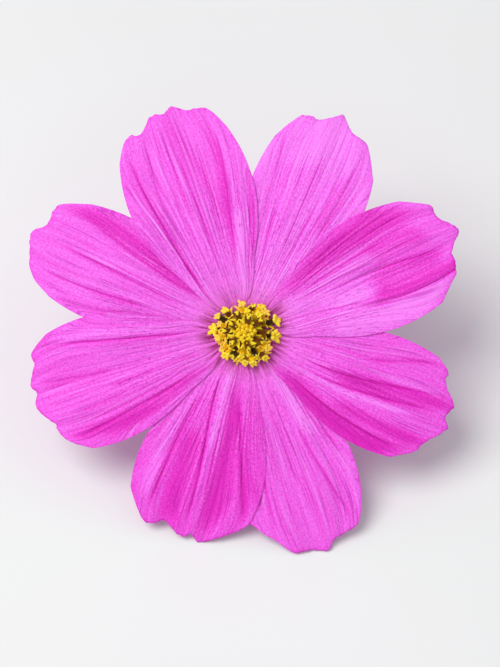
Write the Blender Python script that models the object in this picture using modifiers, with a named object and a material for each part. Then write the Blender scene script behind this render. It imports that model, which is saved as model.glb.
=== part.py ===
"""A picked cosmos flower, lying on a flat surface.

Eight ray florets (the petals), the disc florets in the middle, two whorls of bracts behind them, and a
short stem that swells into the receptacle. The head leans towards -Y and rests on the tips of its two
lowest ray florets, and the stem bends and lies along the surface behind it. The origin is in the middle
of the footprint, on the surface.
"""

import math

import bmesh
import bpy
from mathutils import Matrix, Vector

MM = 0.001  # the dimensions below are in millimetres and the model is in metres

# Driving dimensions
HEAD_TILT = 33.0  # degrees between the head's axis and the vertical
HEAD_PLACE = (0.0, -13.8, 20.87)  # the middle of the ray florets' ring

# A ray floret's outline: distances from the head's axis
CLAW_START = 4.5  # where it starts
WIDEST_AT = 27.0
WAIST_AT = 3.6  # where the curve of its sides would come to a point
SIDE_POWER = 0.9
RAY_THICKNESS = 0.35
RAY_COLUMNS = 12
RAY_ROWS = 8

# A ray floret's height along its middle line
CLAW_HEIGHT = 0.3
RAY_RISE = 0.12  # slope at the claw
RAY_BEND = 0.0031  # how fast that slope falls off
DROOP_FROM = 24.0
DROOP_OVER = 14.0

# Its margins pass over or under those of its neighbours, most of all near the disc. The margin begins
# at a share of the half width; the rest are distances from the head's axis.
MARGIN = (0.2, 0.75)
LIFT_STARTS = (4.5, 6.5)
LIFT_EASES = (26.0, 34.0)
LIFT_EASED = 0.6  # how much of the lift is gone at the tip

# Its middle has shallow pleats.
PLEAT_DEPTH = 0.2
PLEATS = 2.5
PLEATS_START = (8.0, 20.0)
PLEATS_STOP = (0.45, 0.8)  # shares of the half width

BRACT_COUNT = 8  # in each whorl
BRACT_COLUMNS = 2
BRACT_THICKNESS = 0.3
BRACT_CUP = 0.12  # how far a bract's sides rise, for each millimetre of half width

DISC_BASE = 0.1  # the height at which the disc florets start
FLORET_SIDES = 6
BUDS_SIDES = 12

# The stem runs straight behind the head, bends until it lies on the surface and then trails along it.
STEM_RADIUS = 0.95
NECK_RADIUS = 1.0
STEM_SIDES = 5  # bevel resolution
NECK = 9.0  # how far it runs straight, from the ray florets' ring
BEND_POINTS = 14
BEND_START_PULL = 12.0  # how far the bend keeps to the neck's direction
BEND_END_PULL = 14.0
LANDING = (-1.0, 19.2)  # where it meets the surface
LANDING_COURSE = (-0.16, 1.0, 0.0)
TAIL_POINTS = 7
TAIL_PULL = 9.0
TAIL_END = (-10.5, 46.2)
TAIL_COURSE = (-0.5, 1.0, 0.0)

# Each ray floret: the direction of its middle line, in degrees anticlockwise from +X and seen from the
# front; half its width on the left and right; how far its left and right margins are lifted over (+) or
# tucked under (-) the next ray floret; how far its tip bends; and the outline of its tip from left to
# right, as distances from the middle line and from the head's axis.
RAYS = (
    dict(
        azimuth=110.5, width=(11.5, 10.9), lift=(0.55, 0.55), droop=0.5, phase=0.4,
        tip=((-10.2, 35.2), (-8.8, 37.5), (-7.2, 39.1), (-4.8, 38.9), (-2.4, 41.1), (0.2, 40.8),
             (1.8, 41.6), (4.0, 40.1), (7.0, 39.3), (8.4, 37.8), (10.0, 35.0)),
    ),
    dict(
        azimuth=66, width=(9.9, 10.6), lift=(-0.55, -0.55), droop=-0.5, phase=1.3,
        tip=((-9.1, 33.8), (-7.6, 37.0), (-6.0, 39.1), (-3.2, 39.6), (-1.5, 40.5), (0.3, 42.0),
             (2.9, 39.8), (4.9, 39.4), (6.4, 38.7), (7.8, 36.8), (9.6, 33.4)),
    ),
    dict(
        azimuth=25, width=(10.3, 10.7), lift=(0.55, 0.55), droop=0.3, phase=2.2,
        tip=((-9.2, 34.2), (-6.6, 38.6), (-3.9, 39.2), (-1.5, 41.2), (-0.1, 41.5), (1.4, 39.8),
             (2.7, 38.8), (5.3, 38.5), (6.6, 37.6), (9.4, 33.6)),
    ),
    dict(
        azimuth=-23.5, width=(10.2, 10.3), lift=(-0.55, 0.6), droop=-0.4, phase=0.9,
        tip=((-9.6, 33.0), (-8.2, 35.2), (-6.3, 35.8), (-5.0, 36.7), (-3.0, 38.8), (-0.6, 38.2),
             (1.3, 39.3), (3.6, 37.8), (5.6, 36.3), (7.5, 35.3), (9.8, 32.0)),
    ),
    dict(
        azimuth=-71, width=(11.0, 11.0), lift=(-0.6, -0.8), droop=-0.2, phase=2.8,
        tip=((-10.2, 33.6), (-9.2, 36.1), (-8.1, 37.9), (-6.5, 38.8), (-3.4, 39.4), (-1.2, 40.9),
             (1.3, 39.8), (4.6, 39.2), (6.5, 36.6), (8.3, 34.4), (10.2, 31.0)),
    ),
    dict(
        azimuth=-107.5, width=(11.4, 11.4), lift=(0.8, -0.55), droop=-1.7, phase=0.1,
        tip=((-10.6, 31.8), (-8.9, 34.0), (-6.0, 36.0), (-3.5, 37.6), (-1.4, 36.8), (-0.2, 37.6),
             (2.0, 36.4), (3.6, 35.9), (5.0, 36.6), (6.9, 37.0), (8.6, 35.2), (10.6, 31.8)),
    ),
    dict(
        azimuth=-161.5, width=(11.2, 11.5), lift=(0.55, 0.55), droop=-0.4, phase=1.8,
        tip=((-10.5, 31.6), (-8.7, 34.6), (-6.9, 36.2), (-4.7, 36.6), (-1.8, 38.5), (-0.2, 38.8),
             (1.4, 37.9), (2.7, 38.4), (4.1, 38.0), (6.2, 36.8), (7.7, 36.8), (8.9, 36.1), (10.6, 33.0)),
    ),
    dict(
        azimuth=155, width=(9.5, 9.8), lift=(-0.55, -0.55), droop=0.4, phase=2.5,
        tip=((-8.8, 33.6), (-7.3, 36.9), (-5.7, 38.7), (-3.6, 39.8), (-0.8, 41.1), (0.5, 41.2),
             (1.7, 39.9), (3.1, 39.2), (5.9, 39.2), (7.1, 38.1), (8.9, 33.8)),
    ),
)

# Rows of disc florets, from the outside in. Each row's florets start at one distance from the axis and
# have one length. Each floret has its direction in degrees, its tip's distance from the axis and the
# radius of its widest part.
DISC_ROWS = (
    dict(
        start=2.5, length=4.3,
        florets=(
            (147, 5.6, 0.42), (130, 5.6, 0.42), (94, 5.5, 0.42), (73, 5.6, 0.42), (59, 5.9, 0.36),
            (46, 5.7, 0.36), (23, 6.1, 0.45), (-6, 6.0, 0.45), (-33, 5.2, 0.42), (-50, 5.8, 0.42),
            (-74, 5.7, 0.36), (-88, 5.3, 0.36), (-103, 5.5, 0.36), (-130, 5.4, 0.42),
            (-144, 5.4, 0.33), (-156, 5.2, 0.36), (-170, 5.1, 0.36), (172, 6.1, 0.36),
            (160, 5.2, 0.33),
        ),
    ),
    dict(
        start=1.75, length=4.5,
        florets=((83, 4.4, 0.36), (52, 4.0, 0.38), (-62, 5.0, 0.42), (-96, 4.7, 0.36), (-118, 5.0, 0.42)),
    ),
    dict(
        start=0.95, length=4.9,
        florets=(
            (145, 2.3, 0.4), (110, 3.9, 0.42), (76, 2.3, 0.4), (39, 3.5, 0.42), (2, 4.4, 0.42),
            (-27, 3.4, 0.42), (-75, 2.3, 0.4), (-143, 2.1, 0.4), (173, 3.7, 0.42),
        ),
    ),
)

# A disc floret's profile, as shares of its widest radius and of its length, from its pollen down past
# the anther tube and the corolla lobes to the corolla tube.
FLORET_PROFILE = (
    (0.0, 1.0), (0.75, 0.97), (1.0, 0.9), (0.85, 0.82), (0.8, 0.52), (1.0, 0.47), (0.6, 0.38),
    (0.42, 0.0), (0.0, 0.0),
)
# The cluster of unopened buds in the middle of the disc: radius and height, from the top down.
BUDS_PROFILE = (
    (0.0, 3.9), (0.6, 3.8), (1.05, 3.5), (1.25, 3.0), (1.15, 2.5), (0.75, 1.0), (0.5, 0.0), (0.0, 0.0),
)

# Bracts: distance from the axis, height and half width along the middle line, from base to tip.
INNER_BRACT = (
    (2.6, -3.9, 0.65), (3.5, -2.95, 1.0), (4.3, -2.05, 1.35), (5.2, -1.5, 1.8), (6.4, -1.3, 2.0),
    (7.8, -1.3, 1.5), (8.8, -1.4, 0.8), (9.5, -1.5, 0.15),
)
OUTER_BRACT = (
    (2.0, -5.0, 0.6), (3.0, -4.6, 0.8), (4.6, -3.9, 0.95), (6.8, -3.3, 0.9), (9.0, -3.1, 0.65),
    (10.8, -3.3, 0.35), (12.0, -3.6, 0.12),
)
# The receptacle, as radius and height, from its top down to the stem.
RECEPTACLE = (
    (3.3, -0.35), (3.75, -0.6), (3.9, -1.1), (3.65, -1.9), (3.0, -2.8), (2.1, -3.8), (1.5, -4.8),
    (1.15, -6.2),
)


def smooth(low, high, value):
    """0 below low, 1 above high and an even S between them."""
    share = min(max((value - low) / (high - low), 0.0), 1.0)
    return share * share * (3.0 - 2.0 * share)


def through(points, at):
    """The height at a place along a smooth curve through points, which go from left to right."""
    last = len(points) - 1
    for i in range(last):
        if at <= points[i + 1][0] or i == last - 1:
            break
    (x0, y0), (x1, y1) = points[i], points[i + 1]
    before = points[max(i - 1, 0)]
    after = points[min(i + 2, last)]
    start_slope = (y1 - before[1]) / (x1 - before[0])
    end_slope = (after[1] - y0) / (after[0] - x0)
    span = x1 - x0
    t = min(max((at - x0) / span, 0.0), 1.0)
    return (
        (1 + 2 * t) * (1 - t) ** 2 * y0
        + t * (1 - t) ** 2 * span * start_slope
        + t * t * (3 - 2 * t) * y1
        - t * t * (1 - t) * span * end_slope
    )


def half_width(ray, across, along):
    """Half the width of a ray floret at a distance from the axis, on the side that across is on."""
    left, right = ray["width"]
    widest = left + (right - left) * (across + 1) / 2
    share = max(along - WAIST_AT, 0.0) / (WIDEST_AT - WAIST_AT)
    return widest * math.sin(math.pi / 2 * share**SIDE_POWER)


def tip_curve(ray):
    """The outline of the tip, as shares across and distances from the axis."""
    found = [(x / half_width(ray, math.copysign(1, x), reach), reach) for x, reach in ray["tip"]]
    return [(-1.0, found[0][1])] + found[1:-1] + [(1.0, found[-1][1])]


def ray_point(ray, curve, across, share):
    """A point of a ray floret's middle surface: across from -1 to 1, share from claw to tip."""
    along = CLAW_START + share * (through(curve, across) - CLAW_START)
    past = along - CLAW_START
    off_middle = abs(across)
    lift = ray["lift"][0 if across < 0 else 1]
    lift *= smooth(*MARGIN, off_middle) * smooth(*LIFT_STARTS, along)
    lift *= 1 - LIFT_EASED * smooth(*LIFT_EASES, along)
    pleat = PLEAT_DEPTH * math.cos(math.pi * PLEATS * across + ray["phase"])
    pleat *= smooth(*PLEATS_START, along) * (1 - smooth(*PLEATS_STOP, off_middle))
    droop = ray["droop"] * (max(along - DROOP_FROM, 0.0) / DROOP_OVER) ** 2
    height = CLAW_HEIGHT + RAY_RISE * past - RAY_BEND * past * past + lift + pleat + droop
    return Vector((across * half_width(ray, across, along), along, height)) * MM


def add_object(name, data, parent, colour, roughness):
    """Puts a mesh or curve into the flower's collection with a material of its own."""
    material = bpy.data.materials.new(name)
    material.use_nodes = True
    shader = material.node_tree.nodes["Principled BSDF"]
    shader.inputs["Base Color"].default_value = (*colour, 1.0)
    shader.inputs["Roughness"].default_value = roughness
    shader.inputs["Metallic"].default_value = 0.0
    made = bpy.data.objects.new(name, data)
    if not data.materials:
        data.materials.append(None)
    made.material_slots[0].link = "OBJECT"
    made.material_slots[0].material = material
    made.parent = parent
    flower.objects.link(made)
    return made


def grid_mesh(name, columns, rows, place):
    """An open sheet of columns by rows faces, with its points from place(column share, row share)."""
    bm = bmesh.new()
    points = [
        [bm.verts.new(place(c / columns, r / rows)) for c in range(columns + 1)] for r in range(rows + 1)
    ]
    for r in range(rows):
        for c in range(columns):
            bm.faces.new((points[r][c], points[r][c + 1], points[r + 1][c + 1], points[r + 1][c]))
    mesh = bpy.data.meshes.new(name)
    bm.to_mesh(mesh)
    bm.free()
    mesh.shade_smooth()
    return mesh


def thicken(made, thickness):
    shell = made.modifiers.new("thickness", "SOLIDIFY")
    shell.thickness = thickness * MM
    shell.offset = 0.0


def add_ray(number, ray, head):
    """A ray floret: a pleated sheet that follows its outline, given a thickness."""
    curve = tip_curve(ray)
    mesh = grid_mesh(
        f"ray_floret_{number}", RAY_COLUMNS, RAY_ROWS, lambda c, r: ray_point(ray, curve, 2 * c - 1, r)
    )
    made = add_object(f"ray_floret_{number}", mesh, head, (0.80, 0.10, 0.62), 0.55)
    made.rotation_euler.z = math.radians(ray["azimuth"] - 90)
    thicken(made, RAY_THICKNESS)


def add_bracts(kind, line, turn, colour, head):
    """A whorl of alike bracts round the head, as cupped strips along one middle line."""
    rows = len(line) - 1

    def place(column, row):
        distance, height, half = line[round(row * rows)]
        across = 2 * column - 1
        return Vector((across * half, distance, height + BRACT_CUP * half * across**2)) * MM

    mesh = grid_mesh(kind, BRACT_COLUMNS, rows, place)
    for number in range(BRACT_COUNT):
        made = add_object(f"{kind}_{number + 1}", mesh, head, colour, 0.6)
        made.rotation_euler.z = math.radians(turn + 360 * number / BRACT_COUNT)
        thicken(made, BRACT_THICKNESS)


def profile_mesh(name, profile):
    """A line of edges down a profile of (radius, height), for a Screw modifier."""
    mesh = bpy.data.meshes.new(name)
    mesh.from_pydata(
        [(radius * MM, 0.0, height * MM) for radius, height in profile],
        [(i, i + 1) for i in range(len(profile) - 1)],
        [],
    )
    return mesh


def turn_profile(made, steps):
    screw = made.modifiers.new("turned", "SCREW")
    screw.steps = screw.render_steps = steps
    screw.use_merge_vertices = True
    screw.merge_threshold = 1e-6
    screw.use_smooth_shade = True


def add_disc(head):
    """Rows of disc florets that lean outwards, round a cluster of unopened buds."""
    number = 0
    for row in DISC_ROWS:
        start = row["start"]
        length = row["length"]
        for azimuth, reach, girth in row["florets"]:
            number += 1
            name = f"disc_floret_{number:02d}"
            profile = [(radius * girth, height * length) for radius, height in FLORET_PROFILE]
            made = add_object(name, profile_mesh(name, profile), head, (0.85, 0.55, 0.02), 0.6)
            turn = math.radians(azimuth)
            made.location = Vector((start * math.cos(turn), start * math.sin(turn), DISC_BASE)) * MM
            made.rotation_euler = (0.0, math.asin((reach - start) / length), turn)
            turn_profile(made, FLORET_SIDES)
    buds = add_object("disc_buds", profile_mesh("disc_buds", BUDS_PROFILE), head, (0.85, 0.62, 0.03), 0.6)
    buds.location.z = DISC_BASE * MM
    turn_profile(buds, BUDS_SIDES)


def bezier(a, b, c, d, t):
    return a * (1 - t) ** 3 + b * 3 * t * (1 - t) ** 2 + c * 3 * t * t * (1 - t) + d * t**3


def add_stem(place):
    """The receptacle, and below it the stem: straight behind the head, then bending to lie flat."""
    down = place.to_3x3() @ Vector((0, 0, -1))
    neck = place @ (Vector((0, 0, -NECK)) * MM)
    landing = Vector((*LANDING, STEM_RADIUS)) * MM
    end = Vector((*TAIL_END, STEM_RADIUS)) * MM
    landing_course = Vector(LANDING_COURSE).normalized() * MM
    tail_course = Vector(TAIL_COURSE).normalized() * MM
    bend = (neck, neck + down * BEND_START_PULL * MM, landing - landing_course * BEND_END_PULL, landing)
    tail = (landing, landing + landing_course * TAIL_PULL, end - tail_course * TAIL_PULL, end)
    path = [(place @ (Vector((0, 0, height)) * MM), radius) for radius, height in RECEPTACLE]
    for i in range(BEND_POINTS + 1):
        t = i / BEND_POINTS
        path.append((bezier(*bend, t), NECK_RADIUS + (STEM_RADIUS - NECK_RADIUS) * t))
    for i in range(1, TAIL_POINTS + 1):
        path.append((bezier(*tail, i / TAIL_POINTS), STEM_RADIUS))
    curve = bpy.data.curves.new("stem", "CURVE")
    curve.dimensions = "3D"
    curve.bevel_depth = MM
    curve.bevel_resolution = STEM_SIDES
    curve.use_fill_caps = True
    spline = curve.splines.new("POLY")
    spline.points.add(len(path) - 1)
    for knot, (point, radius) in zip(spline.points, path):
        knot.co = (*point, 1.0)
        knot.radius = radius
    spline.use_smooth = True
    add_object("stem", curve, None, (0.22, 0.38, 0.08), 0.6)


for old in list(bpy.data.objects):
    bpy.data.objects.remove(old)

flower = bpy.data.collections.new("cosmos_flower")
bpy.context.scene.collection.children.link(flower)
head = bpy.data.objects.new("head", None)
flower.objects.link(head)
head.location = Vector(HEAD_PLACE) * MM
head.rotation_euler.x = math.radians(HEAD_TILT)
for number, ray in enumerate(RAYS, 1):
    add_ray(number, ray, head)
add_disc(head)
add_bracts("inner_bract", INNER_BRACT, 0.0, (0.45, 0.50, 0.18), head)
add_bracts("outer_bract", OUTER_BRACT, 22.5, (0.20, 0.36, 0.08), head)
add_stem(Matrix.LocRotScale(head.location, head.rotation_euler, None))
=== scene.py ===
"""The looks of a picked cosmos flower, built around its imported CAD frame.

The petals, disc florets, buds, bracts and stem are fine meshes that take the places of the plain CAD
solids. Lengths are in millimetres unless said, and the model is in metres.
"""

import math

import bpy
import numpy as np
from mathutils import Matrix, Vector


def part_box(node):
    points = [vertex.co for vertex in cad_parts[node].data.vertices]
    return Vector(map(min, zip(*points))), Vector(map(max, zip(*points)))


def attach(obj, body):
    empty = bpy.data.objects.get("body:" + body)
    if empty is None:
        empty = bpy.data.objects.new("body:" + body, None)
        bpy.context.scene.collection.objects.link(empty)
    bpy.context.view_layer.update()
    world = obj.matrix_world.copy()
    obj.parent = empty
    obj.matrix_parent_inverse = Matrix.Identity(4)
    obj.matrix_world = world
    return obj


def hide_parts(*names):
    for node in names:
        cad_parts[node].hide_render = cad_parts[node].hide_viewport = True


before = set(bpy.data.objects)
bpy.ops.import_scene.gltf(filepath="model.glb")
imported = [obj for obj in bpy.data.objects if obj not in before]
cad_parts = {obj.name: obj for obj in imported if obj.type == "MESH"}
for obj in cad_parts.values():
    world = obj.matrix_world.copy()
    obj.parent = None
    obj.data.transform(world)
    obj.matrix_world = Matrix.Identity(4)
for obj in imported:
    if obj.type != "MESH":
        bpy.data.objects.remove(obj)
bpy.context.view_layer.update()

MM = 0.001
BODY = "root"

# The head, as in the CAD model. Each pair is two distances from the axis, or two shares across a petal,
# between which what it names comes or goes.
HEAD_TILT = math.radians(33.0)
CLAW_START = 4.5
WIDEST_AT = 27.0
WAIST_AT = 3.6
SIDE_POWER = 0.9
CLAW_HEIGHT = 0.3
RAY_RISE = 0.12
RAY_BEND = 0.0031
DROOP_FROM = 24.0
DROOP_OVER = 14.0
MARGIN = (0.2, 0.75)
LIFT_STARTS = (4.5, 6.5)
LIFT_EASES = (31.0, 38.0)  # farther out than in the CAD model
LIFT_EASED = 0.6
PLEAT_DEPTH = 0.2
PLEATS = 2.5
PLEATS_START = (8.0, 20.0)
PLEATS_STOP = (0.45, 0.8)

# The fine petal meshes
PETAL_COLUMNS = 240
PETAL_ROWS = 80
PETAL_THICKNESS = 0.2
EDGE_THICKNESS = 0.09
LIFT_SHARE = 0.36  # the thin petals lie closer to each other than the CAD solids do
NARROW = 0.04  # folds narrower than this are drawn as fine lines with a soft band round them
CLAW_REACH = 3.5  # the thin petals start nearer the axis, where their claws dip into the receptacle
CLAW_DIP = 0.5
CLAW_DIP_ENDS = (3.5, 5.5)
VEIN_COUNT = 36
BASE_SPREAD = 1.3  # how much wider the thin petals are beside the disc, where they hide the bracts
BASE_SPREAD_ENDS = (5.5, 13.0)
TEETH = ((0.17, 24), (0.05, 60))  # of the tip, large and small: their reach, and cells of noise across
RIB_DEPTH = 0.05
FINE_RIB_DEPTH = 0.03
DARK_VEIN_DEPTH = 0.05
PALE_VEIN_RISE = 0.04
RUFFLE_HEIGHT = 0.14
BASE_TONE = 0.3
EDGE_TONES = (0.12, 0.1)  # how much deeper the colour is along the tip and the sides

# The bracts, the receptacle and the stem, as in the CAD model
BRACT_COUNT = 8
BRACT_COLUMNS = 24
BRACT_ROWS = 60
BRACT_CUP = 0.12
INNER_BRACT = (
    (2.6, -3.9, 0.65), (3.5, -2.95, 1.0), (4.3, -2.05, 1.35), (5.2, -1.5, 1.8), (6.4, -1.3, 2.0),
    (7.8, -1.3, 1.5), (8.8, -1.4, 0.8), (9.5, -1.5, 0.15),
)
OUTER_BRACT = (
    (2.0, -5.0, 0.6), (3.0, -4.6, 0.8), (4.6, -3.9, 0.95), (6.8, -3.3, 0.9), (9.0, -3.1, 0.65),
    (10.8, -3.3, 0.35), (12.0, -3.6, 0.12),
)
RECEPTACLE = (
    (3.3, -0.35), (3.75, -0.6), (3.9, -1.1), (3.65, -1.9), (3.0, -2.8), (2.1, -3.8), (1.5, -4.8),
    (1.15, -6.2),
)
STEM_RADIUS = 0.95
NECK_RADIUS = 1.0
NECK = 9.0
BEND_START_PULL = 12.0
BEND_END_PULL = 14.0
LANDING = (-1.0, 19.2)
LANDING_COURSE = (-0.16, 1.0, 0.0)
TAIL_PULL = 9.0
TAIL_END = (-10.5, 46.2)
TAIL_COURSE = (-0.5, 1.0, 0.0)

# The finer shape of the stem's ends and skin
STEM_SIDES = 64
DOME_HEIGHT = 0.55
DOME_ROWS = 14
RECEPTACLE_ROWS = 40
CUT_FACE = ((0.97, 0.03), (0.9, 0.03), (0.72, -0.02), (0.45, -0.1), (0.15, -0.14))  # radius share, rise
RIBS = 8
RIB_GROOVE = 0.05
UNEVEN = 0.02

# Each disc floret, in the order of its CAD node: the shares of its length at which its anther tube starts
# and ends, how dark the tube is, the size of the pollen on it, and how strong the painted reflection of the
# pink petals is on its tips.
FLORETS = (
    (0.24, 0.78, 1.0, 1.0, 0.5), (0.42, 0.66, 0.7, 1.25, 0.2), (0.4, 0.66, 0.0, 1.1, 0.8),
    (0.26, 0.66, 0.8, 0.8, 0.1), (0.4, 0.7, 0.0, 1.1, 0.2), (0.4, 0.66, 0.0, 1.15, 0.7),
    (0.42, 0.75, 1.0, 1.5, 0.2), (0.38, 0.56, 0.95, 1.9, 0.1), (0.4, 0.7, 0.1, 1.0, 0.7),
    (0.56, 0.78, 0.7, 1.0, 0.2), (0.5, 0.72, 0.1, 1.25, 0.1), (0.5, 0.74, 0.35, 0.9, 0.2),
    (0.36, 0.52, 0.8, 1.1, 0.3), (0.4, 0.66, 0.0, 1.15, 0.1), (0.4, 0.66, 0.15, 0.8, 1.0),
    (0.18, 0.46, 0.95, 0.9, 0.4), (0.4, 0.66, 0.0, 1.0, 0.7), (0.36, 0.54, 0.95, 1.9, 0.1),
    (0.4, 0.6, 0.0, 0.9, 0.8),
    (0.4, 0.66, 0.0, 1.0, 0.0), (0.4, 0.8, 0.25, 1.0, 0.0), (0.4, 0.8, 1.0, 0.9, 0.0),
    (0.4, 0.7, 0.1, 1.0, 0.0), (0.32, 0.78, 1.0, 0.9, 0.0),
    (0.5, 0.86, 0.6, 0.65, 0.0), (0.44, 0.84, 0.7, 0.65, 0.0), (0.5, 0.88, 0.6, 0.65, 0.0),
    (0.44, 0.86, 0.65, 0.65, 0.0), (0.4, 0.86, 0.68, 0.6, 0.0), (0.42, 0.84, 0.68, 0.65, 0.0),
    (0.58, 0.86, 0.5, 0.65, 0.0), (0.58, 0.86, 0.45, 0.65, 0.0), (0.44, 0.82, 0.7, 0.65, 0.0),
)
BUD_COUNT = 24
BUD_SPACING = 0.36
BUD_HEIGHT = 4.3
GOLDEN_ANGLE = math.pi * (3 - math.sqrt(5))
RIM_COUNT = 19
RIM_STRETCH = 1.09  # how much longer the outermost florets are than their CAD solids
RIM_LUMP = 1.1  # and how much larger the pollen on them is
LOBES = 5
TUBE_SIDES = 40
LOBE_SIZES = ((1.3, 0.1), (1.15, 0.35))  # the size and what the outer side adds: pale tube, dark tube
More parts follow.
